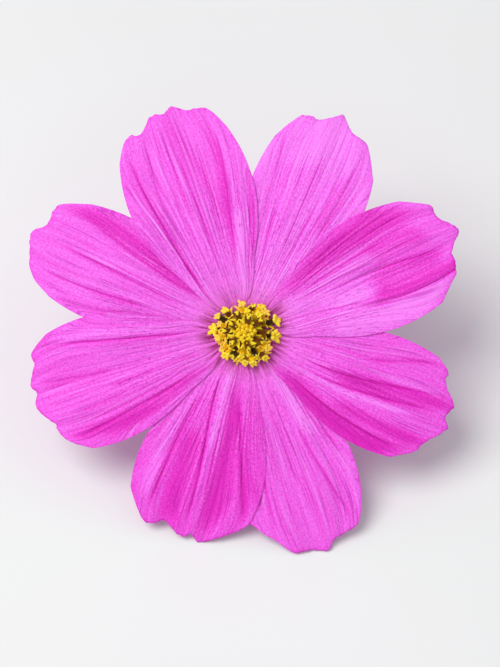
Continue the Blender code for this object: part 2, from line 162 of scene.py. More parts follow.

# Each petal: the numbers that shape it in the CAD model, then how deep its colour is (partly painted shade
# of its pleats), how strong the painted shade under the disc is at its claw, and its folds.
# A fold is a line from claw to tip: where it is across the petal at its start, middle and end, the
# shares of the petal's length at which it starts and ends, its width across, its depth, and how much it
# deepens the colour, which paints shade in the crease and under overlapping margins along with darker
# bands of the petal's own (a pale rib has a depth and a colour below zero, a painted highlight).
RAYS = (dict(
    azimuth=110.5, width=(11.5, 10.9), lift=(0.55, 0.55), droop=0.5, phase=0.4,
    tip=((-10.2, 35.2), (-8.8, 37.5), (-7.2, 39.1), (-4.8, 38.9), (-2.4, 41.1), (0.2, 40.8),
         (1.8, 41.6), (4.0, 40.1), (7.0, 39.3), (8.4, 37.8), (10.0, 35.0)),
    tone=0.0, claw=0.35,
    folds=(
        (-0.8, -0.63, -0.9, 0.1, 0.97, 0.024, 0.3, 0.6),
        (-0.8, -0.74, -0.66, 0.06, 0.36, 0.05, 0.05, 0.35),
        (-0.52, -0.5, -0.47, 0.3, 0.95, 0.02, 0.08, 0.22),
        (-0.3, -0.29, -0.26, 0.25, 0.7, 0.016, 0.05, 0.2),
        (-0.02, 0.0, 0.0, 0.1, 0.85, 0.014, 0.12, 0.35),
        (0.06, 0.07, 0.09, 0.25, 0.8, 0.012, 0.06, 0.25),
        (0.42, 0.18, -0.02, 0.4, 1.05, 0.11, 0.05, 0.16),
        (0.4, 0.48, 0.78, 0.1, 1.0, 0.07, 0.1, 0.28),
        (0.46, 0.54, 0.84, 0.22, 0.92, 0.016, 0.14, 0.4),
        (0.62, 0.62, 0.66, 0.04, 0.5, 0.075, -0.04, -0.8),
        (0.74, 0.72, 0.72, 0.08, 0.5, 0.014, 0.1, 0.55),
        (0.94, 0.9, 0.97, 0.12, 0.78, 0.05, 0.05, 0.18),
        (0.84, 0.82, 0.88, 0.08, 0.55, 0.014, 0.08, 0.5),
        (0.93, 0.92, 0.95, 0.08, 0.6, 0.014, 0.06, 0.45),
        (-0.12, -0.14, -0.16, 0.45, 0.95, 0.018, 0.06, 0.3),
        (0.22, 0.25, 0.34, 0.3, 0.8, 0.014, 0.06, 0.3),
    ),
), dict(
    azimuth=66, width=(9.9, 10.6), lift=(-0.55, -0.55), droop=-0.5, phase=1.3,
    tip=((-9.1, 33.8), (-7.6, 37.0), (-6.0, 39.1), (-3.2, 39.6), (-1.5, 40.5), (0.3, 42.0),
         (2.9, 39.8), (4.9, 39.4), (6.4, 38.7), (7.8, 36.8), (9.6, 33.4)),
    tone=-0.1, claw=0.2,
    folds=(
        (0.02, 0.015, 0.01, 0.25, 0.84, 0.013, 0.14, 0.45),
        (0.5, 0.55, 0.68, 0.4, 0.92, 0.024, 0.16, 0.4),
        (-0.55, -0.6, -0.9, 0.38, 0.92, 0.022, 0.12, 0.28),
        (-0.42, -0.42, -0.5, 0.3, 0.8, 0.06, 0.04, 0.16),
        (0.0, 0.0, 0.0, 0.7, 1.1, 0.7, 0.0, -0.2),
        (0.44, 0.48, 0.58, 0.45, 0.85, 0.09, 0.04, 0.24),
        (-0.2, -0.2, -0.22, 0.35, 0.75, 0.018, 0.06, 0.28),
        (0.2, 0.21, 0.26, 0.15, 0.62, 0.016, 0.08, 0.38),
        (0.34, 0.36, 0.42, 0.3, 0.8, 0.014, 0.06, 0.3),
        (-0.36, -0.38, -0.44, 0.16, 0.56, 0.016, 0.08, 0.34),
    ),
), dict(
    azimuth=25, width=(10.3, 10.7), lift=(0.55, 0.55), droop=0.3, phase=2.2,
    tip=((-9.2, 34.2), (-6.6, 38.6), (-3.9, 39.2), (-1.5, 41.2), (-0.1, 41.5), (1.4, 39.8),
         (2.7, 38.8), (5.3, 38.5), (6.6, 37.6), (9.4, 33.6)),
    tone=0.02, claw=0.8,
    folds=(
        (-0.8, -0.72, -0.88, 0.0, 0.98, 0.19, 0.08, 0.5),
        (-0.5, -0.55, -0.82, 0.04, 0.96, 0.014, 0.18, 0.4),
        (-0.6, -0.66, -0.84, 0.1, 0.8, 0.012, 0.12, 0.4),
        (-0.74, -0.77, -0.82, 0.35, 0.6, 0.02, 0.06, 0.3),
        (-0.3, -0.28, -0.3, 0.56, 0.9, 0.2, 0.0, 0.3),
        (0.22, 0.22, 0.3, 0.48, 0.98, 0.16, 0.0, 0.34),
        (-0.02, 0.0, 0.17, 0.28, 0.94, 0.022, 0.2, 0.5),
        (0.14, 0.1, 0.06, 0.34, 0.58, 0.016, 0.08, 0.3),
        (0.46, 0.6, 0.72, 0.42, 1.2, 0.026, 0.28, 0.6),
        (0.38, 0.5, 0.6, 0.46, 1.2, 0.09, 0.04, 0.5),
        (0.26, 0.28, 0.34, 0.34, 0.62, 0.08, -0.05, -0.45),
        (-0.18, -0.18, -0.16, 0.16, 0.6, 0.016, 0.1, 0.42),
        (0.3, 0.34, 0.42, 0.1, 0.55, 0.014, 0.08, 0.4),
        (-0.34, -0.36, -0.4, 0.2, 0.72, 0.016, 0.1, 0.42),
        (0.8, 0.74, 0.86, 0.25, 1.02, 0.2, -0.03, -0.42),
        (0.02, 0.06, 0.1, 0.05, 0.6, 0.24, 0.0, -0.22),
    ),
), dict(
    azimuth=-23.5, width=(10.2, 10.3), lift=(-0.55, 0.6), droop=-0.4, phase=0.9,
    tip=((-9.6, 33.0), (-8.2, 35.2), (-6.3, 35.8), (-5.0, 36.7), (-3.0, 38.8), (-0.6, 38.2),
         (1.3, 39.3), (3.6, 37.8), (5.6, 36.3), (7.5, 35.3), (9.8, 32.0)),
    tone=0.11, claw=0.8,
    folds=(
        (-0.43, -0.62, -0.97, 0.48, 0.97, 0.018, 0.14, 0.4),
        (0.02, -0.1, -0.47, 0.2, 0.98, 0.024, 0.25, 0.55),
        (0.28, 0.11, -0.08, 0.24, 0.97, 0.022, 0.25, 0.5),
        (0.38, 0.26, 0.14, 0.1, 0.86, 0.045, -0.1, -0.42),
        (0.52, 0.54, 0.62, 0.4, 1.05, 0.09, 0.06, 0.45),
        (0.1, -0.08, -0.36, 0.34, 1.08, 0.12, 0.04, 0.42),
        (0.8, 0.86, 0.98, 0.03, 1.02, 0.19, 0.05, 0.68),
        (0.74, 0.7, 0.84, 0.08, 0.98, 0.016, 0.28, 0.45),
        (0.86, 0.82, 0.92, 0.06, 0.8, 0.014, 0.1, 0.35),
        (0.62, 0.63, 0.76, 0.3, 0.96, 0.03, -0.12, -0.35),
        (-0.28, -0.34, -0.44, 0.6, 0.95, 0.045, -0.05, -0.3),
    ),
), dict(
    azimuth=-71, width=(11.0, 11.0), lift=(-0.6, -0.8), droop=-0.2, phase=2.8,
    tip=((-10.2, 33.6), (-9.2, 36.1), (-8.1, 37.9), (-6.5, 38.8), (-3.4, 39.4), (-1.2, 40.9),
         (1.3, 39.8), (4.6, 39.2), (6.5, 36.6), (8.3, 34.4), (10.2, 31.0)),
    tone=0.08, claw=0.6,
    folds=(
        (-0.38, -0.46, -0.84, 0.36, 0.98, 0.018, 0.16, 0.42),
        (-0.62, -0.72, -0.9, 0.3, 0.66, 0.04, 0.05, 0.3),
        (0.02, 0.0, -0.02, 0.25, 0.7, 0.016, 0.06, 0.22),
        (-0.8, -0.86, -0.95, 0.5, 0.98, 0.07, -0.05, -0.2),
        (-0.66, -0.5, -0.56, 0.02, 0.52, 0.11, -0.02, -0.5),
        (0.4, 0.5, 0.6, 0.45, 0.92, 0.02, 0.1, 0.28),
        (-0.12, -0.16, -0.24, 0.3, 0.9, 0.02, 0.08, 0.18),
    ),
), dict(
    azimuth=-107.5, width=(11.4, 11.4), lift=(0.8, -0.55), droop=-1.7, phase=0.1,
    tip=((-10.6, 31.8), (-8.9, 34.0), (-6.0, 36.0), (-3.5, 37.6), (-1.4, 36.8), (-0.2, 37.6),
         (2.0, 36.4), (3.6, 35.9), (5.0, 36.6), (6.9, 37.0), (8.6, 35.2), (10.6, 31.8)),
    tone=0.18, claw=0.5,
    folds=(
        (-0.42, -0.6, -0.95, 0.2, 0.98, 0.032, 0.25, 0.5),
        (-0.3, -0.34, -0.36, 0.08, 1.02, 0.15, 0.08, 0.5),
        (-0.86, -0.78, -0.84, 0.02, 0.9, 0.18, 0.02, 0.18),
        (-0.46, -0.56, -0.72, 0.3, 0.95, 0.022, -0.08, -0.18),
        (-0.1, -0.13, -0.2, 0.3, 0.82, 0.014, 0.1, 0.35),
        (0.1, -0.02, -0.06, 0.03, 0.56, 0.08, -0.1, -0.4),
        (0.06, -0.03, -0.1, 0.3, 0.94, 0.024, -0.1, -0.35),
        (0.44, 0.06, 0.0, 0.06, 1.0, 0.02, 0.3, 0.55),
        (0.3, 0.28, 0.3, 0.42, 1.05, 0.15, 0.06, 0.42),
        (0.62, 0.53, 0.68, 0.22, 0.95, 0.022, 0.2, 0.45),
        (0.74, 0.68, 0.8, 0.16, 0.95, 0.07, -0.06, -0.3),
    ),
), dict(
    azimuth=-161.5, width=(11.2, 11.5), lift=(0.55, 0.55), droop=-0.4, phase=1.8,
    tip=((-10.5, 31.6), (-8.7, 34.6), (-6.9, 36.2), (-4.7, 36.6), (-1.8, 38.5), (-0.2, 38.8),
         (1.4, 37.9), (2.7, 38.4), (4.1, 38.0), (6.2, 36.8), (7.7, 36.8), (8.9, 36.1), (10.6, 33.0)),
    tone=0.08, claw=0.95,
    folds=(
        (-0.68, -0.59, -0.82, 0.1, 0.97, 0.026, 0.25, 0.5),
        (-0.76, -0.74, -0.82, 0.0, 0.84, 0.1, 0.04, 0.3),
        (-0.8, -0.72, -0.82, 0.4, 1.02, 0.08, 0.02, 0.3),
        (-0.3, -0.32, -0.34, 0.55, 0.85, 0.03, 0.05, 0.2),
        (-0.44, -0.46, -0.56, 0.2, 0.86, 0.016, 0.1, 0.32),
        (-0.12, -0.13, -0.14, 0.36, 0.62, 0.01, 0.12, 0.55),
        (0.1, 0.16, 0.34, 0.56, 0.98, 0.034, 0.14, 0.35),
        (0.6, 0.55, 0.9, 0.08, 0.97, 0.026, 0.28, 0.55),
        (0.74, 0.66, 0.92, 0.15, 0.95, 0.06, -0.05, -0.25),
    ),
), dict(
    azimuth=155, width=(9.5, 9.8), lift=(-0.55, -0.55), droop=0.4, phase=2.5,
    tip=((-8.8, 33.6), (-7.3, 36.9), (-5.7, 38.7), (-3.6, 39.8), (-0.8, 41.1), (0.5, 41.2),
         (1.7, 39.9), (3.1, 39.2), (5.9, 39.2), (7.1, 38.1), (8.9, 33.8)),
    tone=0.0, claw=0.75,
    folds=(
        (-0.6, -0.78, -0.96, 0.34, 0.9, 0.036, 0.12, 0.42),
        (-0.41, -0.47, -0.63, 0.34, 0.96, 0.024, 0.2, 0.45),
        (-0.06, 0.0, 0.03, 0.2, 0.88, 0.02, 0.18, 0.42),
        (0.09, 0.1, 0.12, 0.3, 0.62, 0.014, 0.06, 0.22),
        (0.38, 0.43, 0.68, 0.2, 0.84, 0.03, 0.2, 0.45),
        (0.44, 0.62, 0.95, 0.03, 1.02, 0.13, 0.05, 0.52),
    ),
))


# ---- Shared small tools ----


def smooth(low, high, value):
    """0 below low, 1 above high and an even S between them."""
    share = np.clip((value - low) / (high - low), 0.0, 1.0)
    return share * share * (3.0 - 2.0 * share)


def steps(count):
    """Even steps from 0 to 1."""
    return np.linspace(0.0, 1.0, count)


def turns(count):
    """Even angles round a full turn."""
    return np.linspace(0.0, 2 * math.pi, count, endpoint=False)


def unit(vectors):
    """Vectors with their length made 1."""
    vectors = np.asarray(vectors)
    return vectors / np.maximum(np.linalg.norm(vectors, axis=-1, keepdims=True), 1e-9)


def outward(angle):
    """The direction away from the axis at an angle round it."""
    return np.array([math.cos(angle), math.sin(angle), 0.0])


def through(points, at):
    """The heights at places along a smooth curve through points, which go from left to right."""
    x, y = np.array(points, dtype=float).T
    slope = np.empty_like(y)
    slope[1:-1] = (y[2:] - y[:-2]) / (x[2:] - x[:-2])
    slope[0] = (y[1] - y[0]) / (x[1] - x[0])
    slope[-1] = (y[-1] - y[-2]) / (x[-1] - x[-2])
    i = np.clip(np.searchsorted(x, at) - 1, 0, len(x) - 2)
    span = x[i + 1] - x[i]
    t = np.clip((at - x[i]) / span, 0.0, 1.0)
    return (
        (1 + 2 * t) * (1 - t) ** 2 * y[i]
        + t * (1 - t) ** 2 * span * slope[i]
        + t * t * (3 - 2 * t) * y[i + 1]
        - t * t * (1 - t) * span * slope[i + 1]
    )


def columns_at(table, at):
    """Each column of a table as a smooth curve, at places from 0 in its first row to 1 in its last."""
    rows = steps(len(table))
    return (through(list(zip(rows, column)), at) for column in zip(*table))


def soft_noise(rng, columns, rows, across, along):
    """Smooth noise between -1 and 1 from a grid of columns by rows cells; across and along run 0 to 1."""
    grid = rng.uniform(-1.0, 1.0, (rows + 2, columns + 2))
    x = np.clip(across, 0.0, 1.0) * columns
    y = np.clip(along, 0.0, 1.0) * rows
    i = x.astype(int)
    j = y.astype(int)
    u = smooth(0.0, 1.0, x - i)
    v = smooth(0.0, 1.0, y - j)
    low = grid[j, i] * (1 - u) + grid[j, i + 1] * u
    high = grid[j + 1, i] * (1 - u) + grid[j + 1, i + 1] * u
    return low * (1 - v) + high * v


def add_mesh(name, points, faces, material):
    """A mesh object from an array of points in millimetres and its faces, shaded smooth."""
    mesh = bpy.data.meshes.new(name)
    mesh.from_pydata((np.asarray(points) * MM).tolist(), [], faces)
    mesh.materials.append(material)
    mesh.shade_smooth()
    mesh.update()
    made = bpy.data.objects.new(name, mesh)
    bpy.context.scene.collection.objects.link(made)
    return made


def points_of(mesh):
    """The points of a mesh as an array."""
    found = np.empty(len(mesh.vertices) * 3)
    mesh.vertices.foreach_get("co", found)
    return found.reshape(-1, 3)


def give(mesh, name, values):
    """A number, or a row of three, at each point of a mesh, for its material to read."""
    values = np.asarray(values, dtype=np.float32)
    kind, field = ("FLOAT", "value") if values.ndim == 1 else ("FLOAT_VECTOR", "vector")
    mesh.attributes.new(name, kind, "POINT").data.foreach_set(field, values.ravel())


def give_both_sides(mesh, **grids):
    """The same for a closed sheet, from what each point of its grid has."""
    for name, grid in grids.items():
        flat = grid.reshape(-1, *grid.shape[2:])
        give(mesh, name, np.concatenate([flat, flat]))


def turn_round_axis(points, degrees):
    """Points turned round the head's axis."""
    return points @ np.array(Matrix.Rotation(math.radians(degrees), 3, "Z")).T


def take_place(made, node):
    """Puts a finished piece in the place of its CAD node."""
    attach(made, BODY)
    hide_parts(node)


def closed_sheet(sheet, thickness):
    """The points and faces of a closed thin body round a grid of points, its upper side first."""
    rows, columns = sheet.shape[:2]
    normals = unit(np.cross(np.gradient(sheet, axis=1), np.gradient(sheet, axis=0)))
    half = normals * (thickness / 2)[..., None]
    points = np.concatenate([(sheet + half).reshape(-1, 3), (sheet - half).reshape(-1, 3)])
    under = rows * columns
    faces = []
    for r in range(rows - 1):
        for c in range(columns - 1):
            a = r * columns + c
            b = a + columns
            faces.append((a, a + 1, b + 1, b))
            faces.append((under + a, under + b, under + b + 1, under + a + 1))
    rim = list(range(columns))
    rim += [r * columns + columns - 1 for r in range(1, rows)]
    rim += [(rows - 1) * columns + c for c in range(columns - 2, -1, -1)]
    rim += [r * columns for r in range(rows - 2, 0, -1)]
    for i, a in enumerate(rim):
        b = rim[(i + 1) % len(rim)]
        faces.append((b, a, under + a, under + b))
    return points, faces


class Clay:
    """One piece, gathered from closed parts that are lofted through rings of points."""

    def __init__(self, *names):
        self.points = []
        self.faces = []
        self.values = {name: [] for name in names}
        self.count = 0

    def loft(self, rings, **values):
        """Adds a closed part. Each value is one number, or has one for each ring or for each point."""
        rows, around = rings.shape[:2]
        ends = np.stack([rings[0].mean(0), rings[-1].mean(0)])
        self.points += [rings.reshape(-1, 3), ends]
        for name in self.values:
            value = np.asarray(values.get(name, 0.0), dtype=float)
            if value.ndim == 1:
                value = value[:, None]
            full = np.broadcast_to(value, (rows, around))
            self.values[name] += [full.ravel(), [full[0].mean(), full[-1].mean()]]
        base = self.count
        first = base + rows * around
        for j in range(around):
            k = (j + 1) % around
            for i in range(rows - 1):
                low = base + i * around
                high = low + around
                self.faces.append((low + j, low + k, high + k, high + j))
            self.faces.append((first, base + k, base + j))
            self.faces.append((first + 1, first - around + j, first - around + k))
        self.count += rows * around + 2

    def make(self, name, material):
        made = add_mesh(name, np.concatenate(self.points), self.faces, material)
        for value, found in self.values.items():
            give(made.data, value, np.concatenate(found))
        return made


def turned(heights, radii, around, ridges=0, depth=0.0):
    """Rings round the local z axis, with shallow ridges; the first ridge's groove is on the -x side."""
    turn = turns(around)
    radii = np.asarray(radii)[:, None] * (1 + depth * (np.abs(np.sin(ridges / 2 * (turn - math.pi))) - 0.6))
    heights = np.broadcast_to(np.asarray(heights)[:, None], radii.shape)
    return np.stack([radii * np.cos(turn), radii * np.sin(turn), heights], axis=2)


def horn(path, wide, thick, flat, around):
    """Rings round a path of points, half as wide as wide and half as thick as thick along flat."""
    course = unit(np.gradient(path, axis=0))
    side = unit(np.cross(flat, course))
    rise = np.cross(course, side)
    turn = turns(around)[None, :, None]
    wide = np.asarray(wide)[:, None, None]
    thick = np.asarray(thick)[:, None, None]
    return path[:, None] + side[:, None] * wide * np.cos(turn) + rise[:, None] * thick * np.sin(turn)


# ---- Materials ----


class Nodes:
    """A material's node tree, with short calls for the nodes that the materials below share."""

    def __init__(self, name):
        self.material = bpy.data.materials.new(name)
        self.material.use_nodes = True
        self.tree = self.material.node_tree
        self.shader = self.tree.nodes["Principled BSDF"]

    def link(self, source, target):
        if isinstance(source, bpy.types.NodeSocket):
            self.tree.links.new(source, target)
        else:
            target.default_value = source

    def add(self, kind, **values):
        node = self.tree.nodes.new(kind)
        for key, value in values.items():
            setattr(node, key, value)
        return node

    def number(self, name):
        """A number that the mesh has at each point."""
        return self.add("ShaderNodeAttribute", attribute_name=name).outputs["Fac"]

    def vector(self, name):
        """A vector that the mesh has at each point."""
        return self.add("ShaderNodeAttribute", attribute_name=name).outputs["Vector"]

    def math(self, operation, *values):
        node = self.add("ShaderNodeMath", operation=operation)
        for value, socket in zip(values, node.inputs):
            self.link(value, socket)
        return node.outputs[0]

    def plus(self, a, b):
        return self.math("ADD", a, b)

    def times(self, a, b):
        return self.math("MULTIPLY", a, b)

    def swing(self, value, size):
        """A value between 0 and 1 as a swing round zero, of that size from end to end."""
        return self.math("MULTIPLY_ADD", value, size, -size / 2)

    def texture(self, kind, place, scale, **values):
        """A texture at a place times one scale, or times one for each axis."""
        stretch = self.add("ShaderNodeVectorMath", operation="MULTIPLY")
        self.link(place, stretch.inputs[0])
        self.link(scale if isinstance(scale, tuple) else (scale,) * 3, stretch.inputs[1])
        node = self.add(kind, **values)
        self.link(stretch.outputs[0], node.inputs["Vector"])
        node.inputs["Scale"].default_value = 1.0
        return node

    def noise(self, place, scale, detail=2.0, roughness=0.5):
        node = self.texture("ShaderNodeTexNoise", place, scale)
        node.inputs["Detail"].default_value = detail
        node.inputs["Roughness"].default_value = roughness
        return node.outputs["Fac"]

    def edges(self, place, scale, width):
        """1 on the borders of long random cells, and 0 away from them."""
        node = self.texture("ShaderNodeTexVoronoi", place, scale, feature="DISTANCE_TO_EDGE")
        return self.range(node.outputs["Distance"], 0.0, width, 1.0, 0.0)

    def ramp(self, value, stops):
        node = self.add("ShaderNodeValToRGB")
        self.link(value, node.inputs["Fac"])
        points = node.color_ramp.elements
        while len(points) < len(stops):
            points.new(0.5)
        for point, (at, colour) in zip(points, stops):
            point.position = at
            point.color = (*colour, 1.0)
        return node.outputs["Color"]

    def range(self, value, low, high, to_low=0.0, to_high=1.0):
        """A value's range from low to high, eased into the range from to_low to to_high."""
        node = self.add("ShaderNodeMapRange", interpolation_type="SMOOTHSTEP")
        for source, socket in zip((value, low, high, to_low, to_high), node.inputs):
            self.link(source, socket)
        return node.outputs["Result"]

    def mix(self, share, a, b, blend="MIX"):
        node = self.add("ShaderNodeMix", data_type="RGBA", blend_type=blend)
        self.link(share, node.inputs["Factor"])
        sockets = [s for s in node.inputs if s.type == "RGBA"]
        for value, socket in zip((a, b), sockets):
            self.link((*value, 1.0) if isinstance(value, tuple) else value, socket)
        return [s for s in node.outputs if s.type == "RGBA"][0]

    def bump(self, height, distance, strength, under=None):
        """The normal of a relief, on top of the one under it."""
        node = self.add("ShaderNodeBump")
        node.inputs["Strength"].default_value = strength
        node.inputs["Distance"].default_value = distance * MM
        self.link(height, node.inputs["Height"])
        if under is not None:
            self.link(under, node.inputs["Normal"])
        return node.outputs["Normal"]

    def finish(self, colour, roughness, normal, values):
        """Wires up the shader, sets its uniform values and hands out the material."""
        self.link(colour, self.shader.inputs["Base Color"])
        self.link(roughness, self.shader.inputs["Roughness"])
        self.link(normal, self.shader.inputs["Normal"])
        for name, value in values.items():
            self.shader.inputs[name].default_value = value
        return self.material


PETAL_PINKS = (
    (0.0, (0.99, 0.25, 0.93)), (0.3, (0.92, 0.145, 0.84)), (0.65, (0.87, 0.052, 0.66)),
    (1.0, (0.75, 0.014, 0.52)),
)
PALE_LILAC = (1.0, 0.28, 0.95)
DEEP_LILAC = (0.87, 0.07, 0.7)
# Partly a painted highlight on the raised ribs beside the veins
PALE_VEIN = (1.0, 0.34, 0.97)
DARK_VEIN = (0.7, 0.34, 0.7)  # this and the next one multiply the colour that they lie on
# Painted shade down the narrow creases, which also darkens the veins with their own colour
FOLD_LINE = (0.75, 0.16, 0.66)
# Painted shade under the disc, on the petals' claws
CLAW_SHADE = (0.34, 0.01, 0.14)


def petal_material():
    """Pink petal skin: colour from the folds, dark veins and streaks along it, and a velvety sheen.
    The colour also holds painted shade in the creases and under the disc, and painted highlight on the pale
    ribs.
    """
    n = Nodes("petal_skin")
    line = n.number("line")
    veins = n.vector("veins")
    sheet = n.vector("sheet")
    patches = n.noise(veins, (7.0, 3.0, 1.0))
    streaks = n.noise(veins, (34.0, 3.0, 1.0), detail=3.0, roughness=0.6)
    threads = n.range(n.noise(veins, (58.0, 3.0, 1.0), detail=1.0), 0.55, 0.66)
    dashes = n.range(n.noise(veins, (46.0, 34.0, 1.0), detail=1.0), 0.57, 0.68)
    share = n.add("ShaderNodeSeparateXYZ")
    n.link(veins, share.inputs[0])
    toward_claw = n.range(share.outputs["Y"], 0.45, 0.75, 1.0, 0.3)
    grain = n.noise(sheet, (3.4, 2.4, 1.0), detail=1.0)
    cloud = n.noise(sheet, (0.12, 0.06, 1.0))
    deep = n.plus(n.swing(streaks, 0.5), n.swing(grain, 0.9))
    deep = n.plus(n.plus(deep, n.swing(cloud, 0.24)), n.number("tone"))
    lilac = n.mix(deep, PALE_LILAC, DEEP_LILAC)
    colour = n.mix(n.number("base"), n.ramp(deep, PETAL_PINKS), lilac)
    # The pale ribs in spots, partly a painted highlight on their raised tops
    spotted = n.times(n.number("pale"), n.range(patches, 0.3, 0.65, 0.15, 0.6))
    spotted = n.times(spotted, n.range(deep, 0.4, 0.8, 1.0, 0.15))
    colour = n.mix(spotted, colour, PALE_VEIN)
    dark = n.times(threads, n.range(patches, 0.3, 0.7, 0.2, 0.75))
    dashes = n.times(dashes, n.range(patches, 0.35, 0.65, 0.75, 0.25))
    dark = n.plus(dark, n.times(dashes, toward_claw))
    colour = n.mix(dark, colour, DARK_VEIN, "MULTIPLY")
    # Painted shade down the creases, along with the veins' own dark colour
    colour = n.mix(line, colour, FOLD_LINE, "MULTIPLY")
    # Painted shade under the disc: the claws darkened to deep red-purple in patches
    disc_shade = n.times(n.number("claw"), n.range(patches, 0.42, 0.56, 1.2, 0.1))
    disc_shade = n.times(disc_shade, n.range(streaks, 0.35, 0.6, 1.0, 0.7))
    colour = n.mix(disc_shade, colour, CLAW_SHADE)
    rough = n.bump(n.times(n.plus(dark, line), -1.0), 0.08, 0.7)
    rough = n.bump(streaks, 0.12, 0.6, rough)
    rough = n.bump(grain, 0.09, 0.9, rough)
    return n.finish(colour, n.range(streaks, 0.2, 0.8, 0.4, 0.58), rough, {
        "Specular IOR Level": 0.2,
        "Sheen Weight": 0.06,
        "Sheen Roughness": 0.4,
        "Subsurface Weight": 0.3,
        "Subsurface Radius": (1.0, 0.4, 0.8),
        "Subsurface Scale": 0.2 * MM,
    })


# ---- Petals ----


def half_width(ray, across, along):
    """Half the width of a petal at a distance from the axis, on the side that across is on."""
    left, right = ray["width"]
    widest = left + (right - left) * (across + 1) / 2
    share = np.maximum(along - WAIST_AT, 0.0) / (WIDEST_AT - WAIST_AT)
    return widest * np.sin(math.pi / 2 * share**SIDE_POWER)


def spread_width(ray, across, along):
    """Half the width of a thin petal, which is wider beside the disc than the CAD solid."""
    return half_width(ray, across, along) + BASE_SPREAD * (1 - smooth(*BASE_SPREAD_ENDS, along))


def tip_curve(ray):
    """The outline of the tip, as shares across and distances from the axis."""
    found = [(x / half_width(ray, math.copysign(1, x), reach), reach) for x, reach in ray["tip"]]
    return [(-1.0, found[0][1])] + found[1:-1] + [(1.0, found[-1][1])]


def fold_sum(ray, across, share):
    """At each point of a petal: how deep the folds are, and how strong their bands and fine lines are.
    These colours are painted shade in the creases and under overlapping margins, painted highlight on pale
    ribs, and partly the petal's own deeper colour.
    """
    depth, band, line = np.zeros((3, *across.shape))
    for start, middle, end, low, high, width, deep, colour in ray["folds"]:
        # A curve through the three places across, and the share of it that is shown at each point
        t = np.clip((share - low) / (high - low), 0.0, 1.0)
        place = start * (1 - t) * (1 - 2 * t) + middle * 4 * t * (1 - t) + end * t * (2 * t - 1)
        fade = (high - low) * 0.22
        shown = smooth(low, low + fade, share) * (1 - smooth(high - fade, high, share))
        # A groove with a low ridge on each side
        off = np.abs(across - place) / width
        depth += deep * shown * (np.exp(-(off**1.4)) - 0.35 * np.exp(-((off - 2.6) ** 2)))
        # A narrow fold paints shade down its crease and in a soft band beside it; a wide one paints a band
        # of shade along with the petal's deeper colour; a colour below zero paints highlight on a pale rib.
        if width < NARROW:
            line += colour * shown * np.exp(-((off / 0.7) ** 2))
            band += 0.45 * colour * shown * np.exp(-((off / 2.2) ** 2))
        else:
            band += colour * shown * np.exp(-(off**2) / 1.4)
    return depth, band, line


def vein_lines(rng, vein, share):
    """Fine lines along a petal: how dark its veins are at each point, and how pale the ribs between.
    The pale ribs are raised, and their paleness is partly a painted highlight.
    """
    dark, pale = np.zeros((2, *vein.shape))
    for k in range(VEIN_COUNT):
        place = -0.97 + 1.94 * (k + rng.uniform(0.1, 0.9)) / VEIN_COUNT
        strength = rng.uniform(0.25, 1.0) ** 1.6
        width = rng.uniform(0.009, 0.016)
        start = 0.45 * rng.uniform(0.0, 1.0) ** 2
        stop = rng.uniform(0.55, 1.1)
        swing = rng.uniform(0.0, 0.012)
        at = place + swing * np.sin(share * rng.uniform(4.0, 14.0) + rng.uniform(0.0, 6.0))
        shown = smooth(start - 0.02, start + 0.1, share) * (1 - smooth(stop - 0.2, stop, share))
        shown = shown * (0.7 + 0.3 * np.sin(share * rng.uniform(8.0, 30.0) + rng.uniform(0.0, 6.0)))
        dark += strength * shown * np.exp(-(((vein - at) / width) ** 2))
        beside = at + math.copysign(2.3 * width, rng.uniform(-1.0, 1.0))
        pale += strength * shown * np.exp(-(((vein - beside) / (1.4 * width)) ** 2))
    return dark, pale


def blade_height(ray, across, along):
    """The height of a petal's middle surface: the CAD solid's, with the claw dipped."""
    off_middle = np.abs(across)
    past = along - CLAW_START
    left, right = ray["lift"]
    lift = LIFT_SHARE * np.where(across < 0, left, right)
    lift = lift * smooth(*MARGIN, off_middle) * smooth(*LIFT_STARTS, along)
    lift *= 1 - LIFT_EASED * smooth(*LIFT_EASES, along)
    pleat = PLEAT_DEPTH * np.cos(math.pi * PLEATS * across + ray["phase"])
    pleat *= smooth(*PLEATS_START, along) * (1 - smooth(*PLEATS_STOP, off_middle))
    droop = ray["droop"] * (np.maximum(along - DROOP_FROM, 0.0) / DROOP_OVER) ** 2
    height = CLAW_HEIGHT + RAY_RISE * past - RAY_BEND * past * past + lift + pleat + droop
    return height - CLAW_DIP * (1 - smooth(*CLAW_DIP_ENDS, along))


